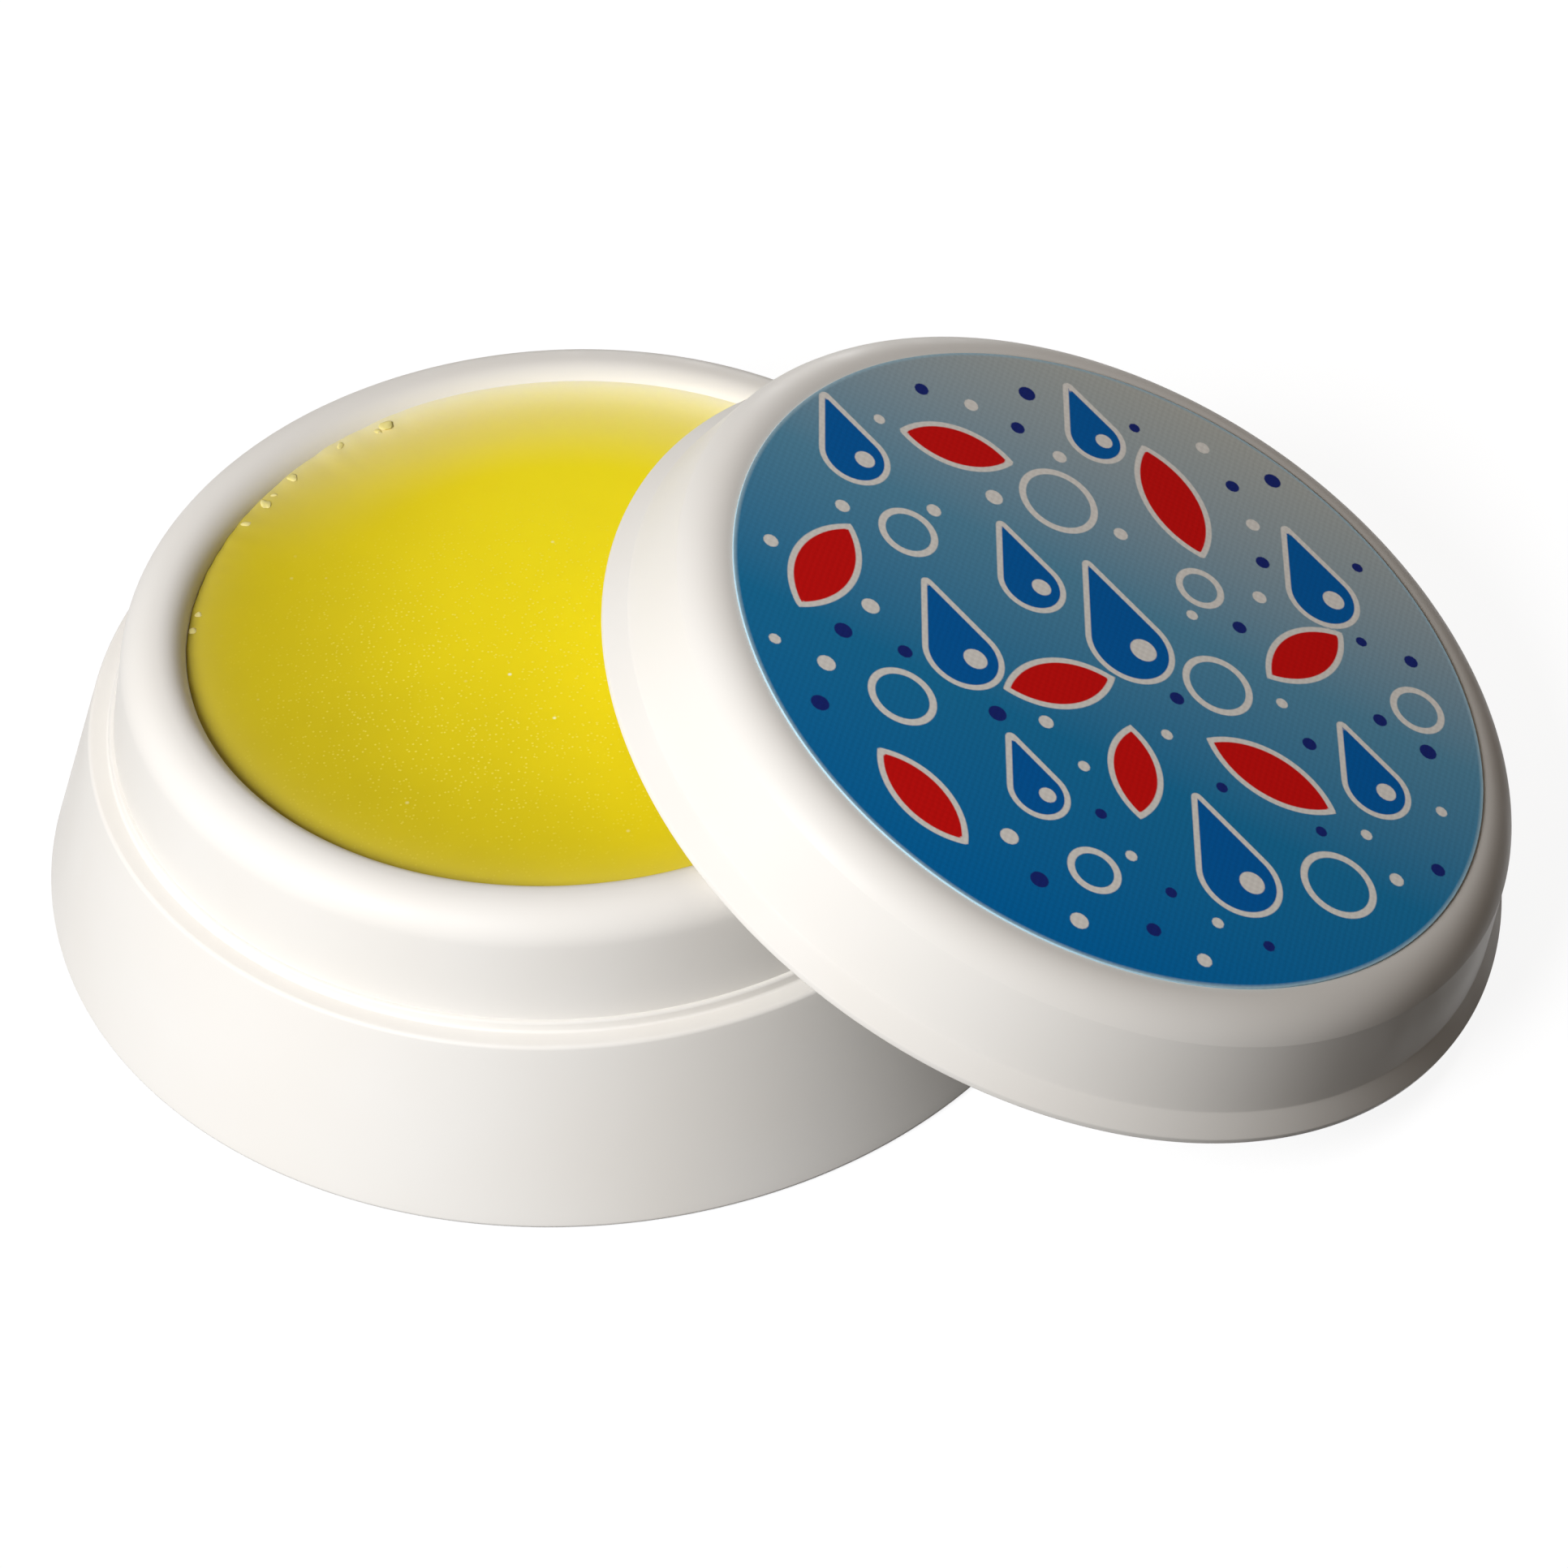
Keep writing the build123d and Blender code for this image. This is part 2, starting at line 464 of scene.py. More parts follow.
@dataclass(frozen=True)
class CastGel(Finish):
    """Glycerine gel cast in the dish: clear lemon yellow, damp satin, with light inside it, painted shade and painted
    light across its yellow, and grains with painted glints.
    """

    name: str = "cast_glycerine_gel"
    ior: float = 1.42
    specular_level: float = 0.06
    relief_depth_mm: float = 0.014
    relief_strength: float = 0.6
    # painted shade: the near colour is the yellow darkened where less light falls, towards the near left; the far
    # colour is the painted lit yellow towards the far right
    painted_shade_colour: str = "#BEAB1A"
    painted_lit_colour: str = "#FFE917"
    # partly the white wall seen through the thin gel, partly a painted reflection of the rim and painted light over
    # the rim's shadow
    see_through_and_painted_light_colour: str = "#FFF6D6"
    # the grains' colour is brightened as painted glints where the attribute "glint" says; the sparks are painted
    # glints
    grain_and_glint_colour: str = "#FFF478"
    painted_spark_colour: str = "#FFFBC8"
    roughness: float = 0.45
    spark_roughness: float = 0.2
    scatter_weight: float = 0.25
    scatter_mm: float = 1.5
    scatter_by_colour: tuple[float, float, float] = (1.0, 0.85, 0.12)
    cloud: Unevenness = Unevenness(14.0, 4.0)
    cloud_share: float = 0.3
    pebble: Unevenness = Unevenness(0.55, 3.0)
    # grains in the gel, shown as painted glints where the attribute "glint" says, and sparks that are painted glints
    # of the lamp
    grains: Dots = Dots(0.38, 0.23, 0.6)
    grain_strength: float = 0.45
    painted_sparks: Dots = Dots(2.6, 0.4, 0.35)

    def material(self) -> Material:
        """Build the material.

        Returns:
            Material whose yellow is painted lighter towards the far right and darker, as painted shade, towards the
            near left where the attribute "light" says. It pales where "thin" says: on the far side this is white wall
            seen through the thin film together with a painted reflection of the rim, and all round the edge it is
            painted light over the rim's shadow. It has a fine pebble, and grains whose painted glints show where
            "glint" says. A real grain is about 0.1 mm, and is drawn larger to show.
        """
        material, tree = new_material(self.name)
        place = add_node(tree, "ShaderNodeTexCoord").outputs["Object"]
        light, thin, glint = (
            add_node(tree, "ShaderNodeAttribute", attribute_name=name).outputs["Fac"]
            for name in (GelCake.PAINTED_LIGHT, GelCake.SEE_THROUGH_AND_PAINTED_LIGHT, GelCake.PAINTED_GLINT)
        )
        cloud, pebble = (
            add_node(tree, "ShaderNodeTexNoise", pattern.over(place)).outputs["Fac"]
            for pattern in (self.cloud, self.pebble)
        )
        # painted light and shade: the attribute "light" lightens the yellow towards the far right and leaves it darker
        # towards the near left; the cloud adds random tone to it
        slow = add_node(tree, "ShaderNodeMath", {0: light, 1: 0.5 * self.cloud_share}, operation="SUBTRACT")
        uneven = add_node(
            tree,
            "ShaderNodeMath",
            {0: cloud, 1: self.cloud_share, 2: slow.outputs["Value"]},
            operation="MULTIPLY_ADD",
            use_clamp=True,
        )
        # painted glints: grains and sparks show about one place, where the lamp's reflection falls, and fade away from
        # it
        shown = add_node(tree, "ShaderNodeMath", {0: glint, 1: self.grain_strength}, operation="MULTIPLY")
        grain, painted_spark = (
            add_node(
                tree, "ShaderNodeMath", {0: dots.strew(tree, place), 1: share}, operation="MULTIPLY"
            ).outputs["Value"]
            for dots, share in ((self.grains, shown.outputs["Value"]), (self.painted_sparks, glint))
        )
        layers = [
            (uneven.outputs["Value"], self.painted_lit_colour),
            (thin, self.see_through_and_painted_light_colour),
            (grain, self.grain_and_glint_colour),
            (painted_spark, self.painted_spark_colour),
        ]
        roughness = add_node(
            tree,
            "ShaderNodeMapRange",
            {"Value": painted_spark, "To Min": self.roughness, "To Max": self.spark_roughness},
        )
        inputs = {
            "Base Color": self.layered(tree, linear(self.painted_shade_colour), layers),
            "Roughness": roughness.outputs["Result"],
            "Subsurface Weight": self.scatter_weight,
            "Subsurface Radius": self.scatter_by_colour,
            "Subsurface Scale": self.scatter_mm * MM,
        }
        self.complete(tree, pebble, inputs)
        return material


@dataclass(frozen=True)
class PrintedLabel(Finish):
    """Coated paper label: a blue that deepens down the print, flat inks on it and a fine linen emboss."""

    name: str = "printed_coated_paper"
    ior: float = 1.5
    specular_level: float = 0.03
    relief_depth_mm: float = 0.01
    relief_strength: float = 0.4
    fade: tuple[tuple[float, str], ...] = (
        (0.0, "#0070B6"),
        (0.325, "#1E7FB2"),
        (0.6, "#5F9AB8"),
        (0.825, "#A3B5BC"),
        (1.0, "#C4C6BE"),
    )
    inks: tuple[tuple[Ink, str], ...] = (
        (Ink.WHITE, "#F4F0E8"),
        (Ink.NAVY, "#1B2A78"),
        (Ink.DEEP_BLUE, "#0466B4"),
        (Ink.RED, "#E21412"),
    )
    shade_colour: str = "#000000"
    cut_colour: str = "#A9CBDA"
    roughness: float = 0.5
    ink_edge_mm: float = 0.05
    thread_mm: float = 0.5
    thread_shade: float = 0.06
    thread_wander: float = 1.2
    thread_wander_detail: float = 2.0
    thread_wander_scale: float = 1.5

    def material(self) -> Material:
        """Build the material.

        Returns:
            Material that reads each ink's distance from the mesh, prints it where that is below 0, shades and
            embosses the paper with crossed threads, and leaves the cut edge pale. Real threads are about 0.25 mm
            apart, and are drawn wider to show.
        """
        material, tree = new_material(self.name)
        place = add_node(tree, "ShaderNodeAttribute", attribute_name=Label.PRINT_PLACE).outputs["Vector"]
        parts = add_node(tree, "ShaderNodeSeparateXYZ", {"Vector": place})
        height = add_node(
            tree,
            "ShaderNodeMapRange",
            {"Value": parts.outputs["Y"], "From Min": -Label.radius, "From Max": Label.radius},
        )
        ramp = add_node(tree, "ShaderNodeValToRGB", {"Fac": height.outputs["Result"]})
        stops = ramp.color_ramp.elements
        while len(stops) < len(self.fade):
            stops.new(1.0)
        for stop, (position, code) in zip(stops, self.fade):
            stop.position = position
            stop.color = linear(code)
        layers = []
        for ink, code in self.inks:
            edge = add_node(tree, "ShaderNodeAttribute", attribute_name=ink.value)
            cover = add_node(
                tree,
                "ShaderNodeMapRange",
                {"Value": edge.outputs["Fac"], "From Min": self.ink_edge_mm, "From Max": -self.ink_edge_mm},
            )
            layers.append((cover.outputs["Result"], code))
        thread = {
            "Vector": place,
            "Scale": FULL_TURN / (WAVE_TURN * self.thread_mm),
            "Distortion": self.thread_wander,
            "Detail": self.thread_wander_detail,
            "Detail Scale": self.thread_wander_scale,
        }
        threads = [
            add_node(tree, "ShaderNodeTexWave", thread, bands_direction=direction).outputs["Fac"]
            for direction in ("X", "Y")
        ]
        linen = add_node(tree, "ShaderNodeMath", dict(enumerate(threads)), operation="ADD").outputs["Value"]
        shade = add_node(
            tree,
            "ShaderNodeMapRange",
            {"Value": linen, "From Max": float(len(threads)), "To Min": self.thread_shade, "To Max": 0.0},
        )
        cut = add_node(tree, "ShaderNodeAttribute", attribute_name=Label.CUT_EDGE)
        layers += [(shade.outputs["Result"], self.shade_colour), (cut.outputs["Fac"], self.cut_colour)]
        colour = self.layered(tree, ramp.outputs["Color"], layers)
        self.complete(tree, linen, {"Base Color": colour, "Roughness": self.roughness})
        return material


@dataclass
class Dish:
    """Dish moulding: flared skirt, ledge, tapered neck, rounded rim and the well, in one thin wall."""

    foot_radius: float = 42.5
    foot_rounding: float = 0.3
    ledge_radius: float = 37.75
    ledge_height: float = 14.9
    ledge_rounding: float = 0.4
    neck_radius: float = 35.85
    neck_draft_deg: float = 10.9
    step: float = 0.35
    step_height: float = 0.8
    step_cove: float = 0.25
    rim_height: float = 24.45
    rim_width: float = 4.75
    rim_flat: float = 0.05
    shoulder_rounding: float = 3.2
    well_depth: float = 9.2
    well_cove: float = 1.5
    wall: float = 1.4

    @property
    def neck_slope(self) -> float:
        """How much the neck draws in for each unit of height."""
        return math.tan(math.radians(self.neck_draft_deg))

    def neck_at(self, height: float) -> float:
        """Outer radius of the tapered neck at a height over the table."""
        return self.neck_radius - self.neck_slope * (height - self.ledge_height)

    @property
    def well_radius(self) -> float:
        """Radius of the well's straight wall."""
        return self.neck_at(self.rim_height) - self.rim_width

    @property
    def rim_inner_rounding(self) -> float:
        """Rounding of the rim towards the well, which takes what the shoulder leaves of the rim's width."""
        reach = self.shoulder_rounding * math.tan(math.radians(90.0 - self.neck_draft_deg) / 2.0)
        return self.rim_width - reach - self.rim_flat

    @property
    def well_floor(self) -> float:
        """Height of the well's floor over the table."""
        return self.rim_height - self.well_depth

    def outline(self) -> np.ndarray:
        """Section of the moulding, one wall all the way.

        Returns:
            Points from the centre of its underside round to the centre of the well's floor.
        """
        underside = self.well_floor - self.wall
        ledge_underside = self.ledge_height - self.wall
        groove_top = self.rim_height - self.wall
        step_top = self.ledge_height + self.step_height
        skirt_slope = (self.foot_radius - self.ledge_radius) / self.ledge_height
        skirt_inside = self.ledge_radius + (skirt_slope - 1.0) * self.wall
        well_outside = self.well_radius + self.wall
        return rounded_outline([
            Corner(0.0, underside),
            Corner(well_outside, underside),
            Corner(well_outside, groove_top),
            Corner(self.neck_at(groove_top) - self.wall, groove_top),
            Corner(self.neck_at(ledge_underside) - self.wall, ledge_underside),
            Corner(skirt_inside, ledge_underside),
            Corner(self.foot_radius - self.wall, 0.0),
            Corner(self.foot_radius, 0.0, self.foot_rounding),
            Corner(self.ledge_radius, self.ledge_height, self.ledge_rounding),
            Corner(self.neck_radius + self.step, self.ledge_height, self.step_cove),
            Corner(self.neck_at(step_top) + self.step, step_top, self.step_cove),
            Corner(self.neck_at(step_top), step_top),
            Corner(self.neck_at(self.rim_height), self.rim_height, self.shoulder_rounding),
            Corner(self.well_radius, self.rim_height, self.rim_inner_rounding),
            Corner(self.well_radius, self.well_floor, self.well_cove),
            Corner(0.0, self.well_floor),
        ])

    def build(self, finish: MouldedPolystyrene) -> Object:
        """Build the moulding in the place of its CAD node.

        Args:
            finish: Finish of the plastic.

        Returns:
            The new piece.
        """
        points, faces = skinned(turned(self.outline()))
        piece = add_piece("dish_shell", points, faces, finish.material(), Body.DISH)
        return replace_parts(piece, "dish_moulding")


@dataclass(frozen=True)
class Nick:
    """Small tear in the gel's edge: where it is round the dish, how wide and how deep."""

    azimuth_deg: float
    width_mm: float
    depth_mm: float


@dataclass(frozen=True)
class Crumb:
    """Shred of gel left on the edge when it was levelled: where it lies, and its size."""

    azimuth_deg: float
    radius_mm: float
    size_mm: float


@dataclass
class GelCake:
    """Gel cake: crowned, set against the wall all round, drawn up it on the far side and ragged on the left."""

    # Attributes that the gel's material reads: "light" carries painted light and shade across the yellow, "thin" a
    # paleness that is partly the wall seen through and partly painted light and reflection, and "glint" where painted
    # glints show
    PAINTED_LIGHT = "light"
    SEE_THROUGH_AND_PAINTED_LIGHT = "thin"
    PAINTED_GLINT = "glint"
    dish: Dish
    below_rim: float = 1.75
    crown: float = 0.5
    edge_rounding: float = 0.1
    edge_width: float = 10.5
    top_rows: int = 75
    row_crowding: float = 1.4
    sectors: int = 480
    seat: float = 0.02
    far_seat: float = 0.35
    climb: float = 0.9
    climb_power: int = 7
    far_azimuth_deg: float = 80.0
    far_spread_deg: float = 82.0
    # on the far side: the white wall seen through the thin film, with a painted reflection of the white rim
    see_through: float = 0.48
    see_through_power: float = 1.6
    film_see_through: float = 0.45
    film_power: int = 9
    # painted light: a thin pale ring round the whole edge lifts the shade that the rim casts on the gel
    rim_painted_light: float = 0.08
    rim_painted_light_power: int = 5
    ragged: float = 0.02
    ragged_most: float = 2.5
    ragged_power: int = 5
    ragged_azimuth_deg: float = 150.0
    ragged_spread_deg: float = 62.0
    spread_level: float = 0.3
    # painted light: the yellow is lit about this place and falls to painted shade between the two distances
    painted_light_centre: tuple[float, float] = (20.0, 11.0)
    painted_light_reach: tuple[float, float] = (17.0, 55.0)
    # painted glints show about this place and fade out between the two distances
    painted_glint_centre: tuple[float, float] = (-4.0, -6.0)
    painted_glint_reach: tuple[float, float] = (7.0, 27.0)
    first_wave: int = 14
    waves: int = 90
    seed: int = 7
    nicks: tuple[Nick, ...] = (
        Nick(121.0, 1.2, 0.05),
        Nick(130.5, 0.8, 0.05),
        Nick(139.0, 1.4, 0.06),
        Nick(146.0, 0.7, 0.05),
        Nick(157.0, 1.0, 0.04),
        Nick(173.0, 0.9, 0.05),
        Nick(190.0, 1.1, 0.03),
    )
    crumbs: tuple[Crumb, ...] = (
        Crumb(117.1, 28.8, 1.3),
        Crumb(118.9, 28.6, 0.7),
        Crumb(125.8, 29.0, 0.8),
        Crumb(136.2, 28.9, 0.9),
        Crumb(141.0, 28.8, 0.6),
        Crumb(143.5, 28.7, 1.0),
        Crumb(148.9, 28.7, 0.8),
        Crumb(171.3, 28.7, 0.6),
        Crumb(175.1, 28.9, 0.8),
    )
    crumb_rows: int = 9
    crumb_sectors: int = 14
    crumb_width: tuple[float, float] = (0.55, 0.9)
    crumb_height: tuple[float, float] = (0.16, 0.24)
    crumb_dents: int = 5
    dent_depth: float = 0.09
    dent_rate: float = 2.2
    crumb_painted_light: float = 0.75
    crumb_see_through: float = 0.4

    @property
    def radius(self) -> float:
        """Outer radius of the cake, which is set a little into the wall."""
        return self.dish.well_radius + self.seat

    @property
    def edge_height(self) -> float:
        """Height of the cake's edge over the table."""
        return self.dish.rim_height - self.below_rim

    def outline(self) -> np.ndarray:
        """Section before its crown: the sides, then a level top with rows that crowd towards the edge.

        Returns:
            Points from the centre of the underside to the middle of the top.
        """
        floor = self.dish.well_floor
        top_radius = self.radius - 2.0 * self.edge_rounding
        sides = rounded_outline([
            Corner(0.0, floor),
            Corner(self.radius - self.dish.well_cove, floor),
            Corner(self.radius, floor + self.dish.well_cove),
            Corner(self.radius, self.edge_height, self.edge_rounding),
            Corner(top_radius, self.edge_height),
        ])
        return topped(sides, top_radius * (1.0 - np.linspace(0.0, 1.0, self.top_rows) ** self.row_crowding)[1:])

    def near(self, angle: np.ndarray, azimuth_deg: float, spread_deg: float) -> np.ndarray:
        """Weight that is 1 about an azimuth and falls to 0 at the spread on each side of it."""
        away = np.abs((np.degrees(angle) - azimuth_deg + 180.0) % 360.0 - 180.0)
        return 1.0 - smooth_step(away, self.spread_level * spread_deg, spread_deg)

    def round_patch(self, grid: np.ndarray, centre: tuple[float, float], reach: tuple[float, float]) -> np.ndarray:
        """Weight that is 1 near a place on the gel and falls to 0 from the first distance to the second."""
        return 1.0 - smooth_step(np.hypot(grid[..., 0] - centre[0], grid[..., 1] - centre[1]), *reach)

    def round_noise(self, angle: np.ndarray, rng: np.random.Generator) -> np.ndarray:
        """Seamless noise round the dish: a sum of cosines with random phases, weaker as they get finer.

        Args:
            angle: Angles round the dish.
            rng: Source of the phases.

        Returns:
            Noise about 0, with a spread of 1.
        """
        orders = np.arange(self.first_wave, self.first_wave + self.waves)
        phases = rng.uniform(0.0, FULL_TURN, self.waves)
        share = 1.0 / np.sqrt(orders)
        waves = np.cos(orders[:, None] * angle + phases[:, None]) * share[:, None]
        return waves.sum(0) / np.sqrt((share**2).sum() / 2.0)

    def nick_depth(self, angle: np.ndarray) -> np.ndarray:
        """Depth of the nicks round the edge, each a bell curve along it.

        Args:
            angle: Angles round the dish.

        Returns:
            The depth at each angle.
        """
        along = np.radians([nick.azimuth_deg for nick in self.nicks])[:, None] - angle
        along = (along + math.pi) % FULL_TURN - math.pi
        widths = np.array([nick.width_mm for nick in self.nicks])[:, None] / self.radius
        depths = np.array([nick.depth_mm for nick in self.nicks])[:, None]
        return (depths * np.exp(-((along / widths) ** 2))).sum(0)

    def build(self, finish: CastGel) -> list[Object]:
        """Build the cake in the place of its CAD solid, and the shreds on its edge.

        The top is the section plus a crown that falls with the square of the radius. On the far side it climbs
        towards the wall by a steep power of the nearness to it, follows the rim's rounding outwards and ends
        inside it, so that no edge shows. On the left the edge draws in by seamless noise and drops where a nick is.

        Args:
            finish: Finish of the gel.

        Returns:
            The new pieces.
        """
        rng = np.random.default_rng(self.seed)
        grid = turned(self.outline(), self.sectors)
        angle = np.arctan2(grid[1, :, 1], grid[1, :, 0])
        radius = np.hypot(grid[..., 0], grid[..., 1])
        height = grid[..., 2]
        top = smooth_step(height, self.edge_height - 2.0 * self.edge_rounding, self.edge_height - self.edge_rounding)
        edge = np.clip((radius - self.radius + self.edge_width) / self.edge_width, 0.0, 1.0) * top
        far = self.near(angle, self.far_azimuth_deg, self.far_spread_deg)
        torn = self.ragged * self.near(angle, self.ragged_azimuth_deg, self.ragged_spread_deg)
        rough = 1.0 + self.round_noise(angle, rng)
        lift = self.crown * (1.0 - (radius / self.radius) ** 2) * top
        lift = lift + edge**self.climb_power * far * self.climb
        lift = lift - edge**self.ragged_power * (self.nick_depth(angle) + torn * rough)
        rounding = self.dish.rim_inner_rounding
        above = np.clip(height + lift - self.dish.rim_height + rounding, 0.0, None)
        recede = rounding - np.sqrt(rounding**2 - above**2)
        drawn_in = torn * np.clip(rough, 0.0, self.ragged_most)
        reach = edge**self.climb_power * (recede + far * self.far_seat - drawn_in)
        scale = 1.0 + reach / np.maximum(radius, 1.0)
        grid = np.stack([grid[..., 0] * scale, grid[..., 1] * scale, height + lift], axis=-1)
        points, faces = skinned(grid)
        material = finish.material()
        cake = add_piece("gel_surface", points, faces, material, Body.DISH)
        # paleness of the edge: wall seen through and painted reflection on the far side, painted light over the rim's
        # shadow all round
        film = edge**self.film_power * self.film_see_through
        thin = far * (edge**self.see_through_power * self.see_through + film)
        thin = np.maximum(thin, edge**self.rim_painted_light_power * self.rim_painted_light)
        # painted light and shade across the gel's yellow
        light = self.round_patch(grid, self.painted_light_centre, self.painted_light_reach)
        # painted glints gather about one place
        glint = self.round_patch(grid, self.painted_glint_centre, self.painted_glint_reach)
        for name, values in ((self.PAINTED_LIGHT, light), (self.SEE_THROUGH_AND_PAINTED_LIGHT, thin), (self.PAINTED_GLINT, glint)):
            add_attribute(cake, name, np.concatenate([values[0, :1], values[1:-1].ravel(), values[-1, :1]]))
        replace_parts(cake, "gel_cake")
        return [cake, self.build_crumbs(material, rng, grid[top > 0.5])]

    def build_crumbs(self, material: Material, rng: np.random.Generator, surface: np.ndarray) -> Object:
        """Build the shreds: small balls flattened on the edge and dented by a few random waves.

        Args:
            material: The gel's material.
            rng: Source of the dents, sizes and turns.
            surface: Points of the gel's top, on which the shreds lie.

        Returns:
            The new piece.
        """
        polar = np.linspace(0.0, math.pi, self.crumb_rows)
        ball = turned(np.column_stack([np.sin(polar), -np.cos(polar)]), self.crumb_sectors)
        points, faces = [], []
        for crumb in self.crumbs:
            dents = np.zeros(ball.shape[:2])
            for direction in rng.normal(size=(self.crumb_dents, 3)):
                dents += np.cos(self.dent_rate * ball @ direction + rng.uniform(0.0, FULL_TURN))
            shares = np.array([1.0, rng.uniform(*self.crumb_width), rng.uniform(*self.crumb_height)])
            turn = rng.uniform(0.0, FULL_TURN)
            cosine, sine = math.cos(turn), math.sin(turn)
            spin = np.array([[cosine, sine, 0.0], [-sine, cosine, 0.0], [0.0, 0.0, 1.0]])
            lump = ball * (1.0 + self.dent_depth * dents[..., None]) * (0.5 * crumb.size_mm * shares) @ spin
            azimuth = math.radians(crumb.azimuth_deg)
            seat = np.array([math.cos(azimuth), math.sin(azimuth), 0.0]) * crumb.radius_mm
            nearest = np.argmin(np.hypot(surface[:, 0] - seat[0], surface[:, 1] - seat[1]))
            seat[2] = surface[nearest, 2]
            these, sides = skinned(lump + seat)
            start = sum(len(group) for group in points)
            points.append(these)
            faces.extend([[number + start for number in side] for side in sides])
        piece = add_piece("gel_crumbs", np.concatenate(points), faces, material, Body.DISH)
        # the shreds take a fixed level of the painted light, and a fixed paleness
        for name, value in ((self.PAINTED_LIGHT, self.crumb_painted_light), (self.SEE_THROUGH_AND_PAINTED_LIGHT, self.crumb_see_through)):
            add_attribute(piece, name, np.full(len(piece.data.vertices), value))
        return piece


@dataclass
class Lid:
    """Lid moulding: flat top, rounded edge, tapered wall, a flared lip, and an inside that fits the dish's neck.

    The rounded edge meets the wall in a line, because it comes down steeper on one side of it than the other.
    """

    dish: Dish
    height: float = 10.15
    top_rounding: float = 3.9
    top_thickness: float = 1.55
    foot_wall: float = 1.9
    draft_deg: float = 16.5
    wall_top: float = 8.0
    edge_draft_deg: float = 28.0
    crease_rounding: float = 0.15
    inner_rounding: float = 1.6
    clearance: float = 0.12
    lip_radius: float = 38.4
    lip_height: float = 2.2
    lip_edge: float = 0.6
    lip_rounding: float = 0.25
    lip_cove: float = 0.5
    mouth_rounding: float = 0.3

    @property
    def depth(self) -> float:
        """Depth of the lid's hollow."""
        return self.height - self.top_thickness

    @property
    def mouth_radius(self) -> float:
        """Radius of the mouth, which clears the neck when the lid is on."""
        return self.dish.neck_at(self.dish.rim_height - self.depth) + self.clearance

    def outline(self) -> np.ndarray:
        """Section of the moulding.

        Returns:
            Points from the middle of its ceiling round the lip to the middle of its top.
        """
        slope = math.tan(math.radians(self.draft_deg))
        foot_radius = self.mouth_radius + self.foot_wall
        crease_radius = foot_radius - slope * self.wall_top
        edge_slope = math.tan(math.radians(self.edge_draft_deg))
        top_radius = crease_radius - edge_slope * (self.height - self.wall_top)
        return rounded_outline([
            Corner(0.0, self.depth),
            Corner(self.mouth_radius - self.dish.neck_slope * self.depth, self.depth, self.inner_rounding),
            Corner(self.mouth_radius, 0.0, self.mouth_rounding),
            Corner(self.lip_radius, 0.0, self.lip_rounding),
            Corner(self.lip_radius, self.lip_edge, self.lip_rounding),
            Corner(foot_radius - slope * self.lip_height, self.lip_height, self.lip_cove),
            Corner(crease_radius, self.wall_top, self.crease_rounding),
            Corner(top_radius, self.height, self.top_rounding),
            Corner(0.0, self.height),
        ])

    def stand(self, label: Object, label_thickness: float) -> Stand:
        """Find how the lid leans from its label in the frame.

        The label is a flat disc, so the direction in which its points spread least is the lid's axis. The axis
        meets the disc halfway between its ends in the two directions across it.

        Args:
            label: The label's CAD node.
            label_thickness: Thickness of the label.

        Returns:
            Stand of the lid, with its x down the slope and its height 0 under the lip.
        """
        points = np.empty(3 * len(label.data.vertices), np.float32)
        label.data.vertices.foreach_get("co", points)
        points = points.reshape(-1, 3).astype(float) / MM
        axis = np.linalg.svd(points - points.mean(0), full_matrices=False)[2][2]
        axis = axis * np.sign(axis[2])
        level = np.cross([0.0, 0.0, 1.0], axis)
        level = level / np.linalg.norm(level)
        axes = np.stack([np.cross(level, axis), level, axis])
        spread = points @ axes.T
        middle = (spread.min(0) + spread.max(0)) / 2.0
        return Stand(middle @ axes, axes).raised(-self.height - label_thickness / 2.0)

    def build(self, stand: Stand, finish: MouldedPolystyrene) -> Object:
        """Build the moulding in the place of its CAD node.

        Args:
            stand: Where the lid leans.
            finish: Finish of the plastic.

        Returns:
            The new piece.
        """
        points, faces = skinned(turned(self.outline()))
        piece = add_piece("lid_shell", stand.place(points), faces, finish.material(), Body.LID)
        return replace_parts(piece, "lid_moulding")


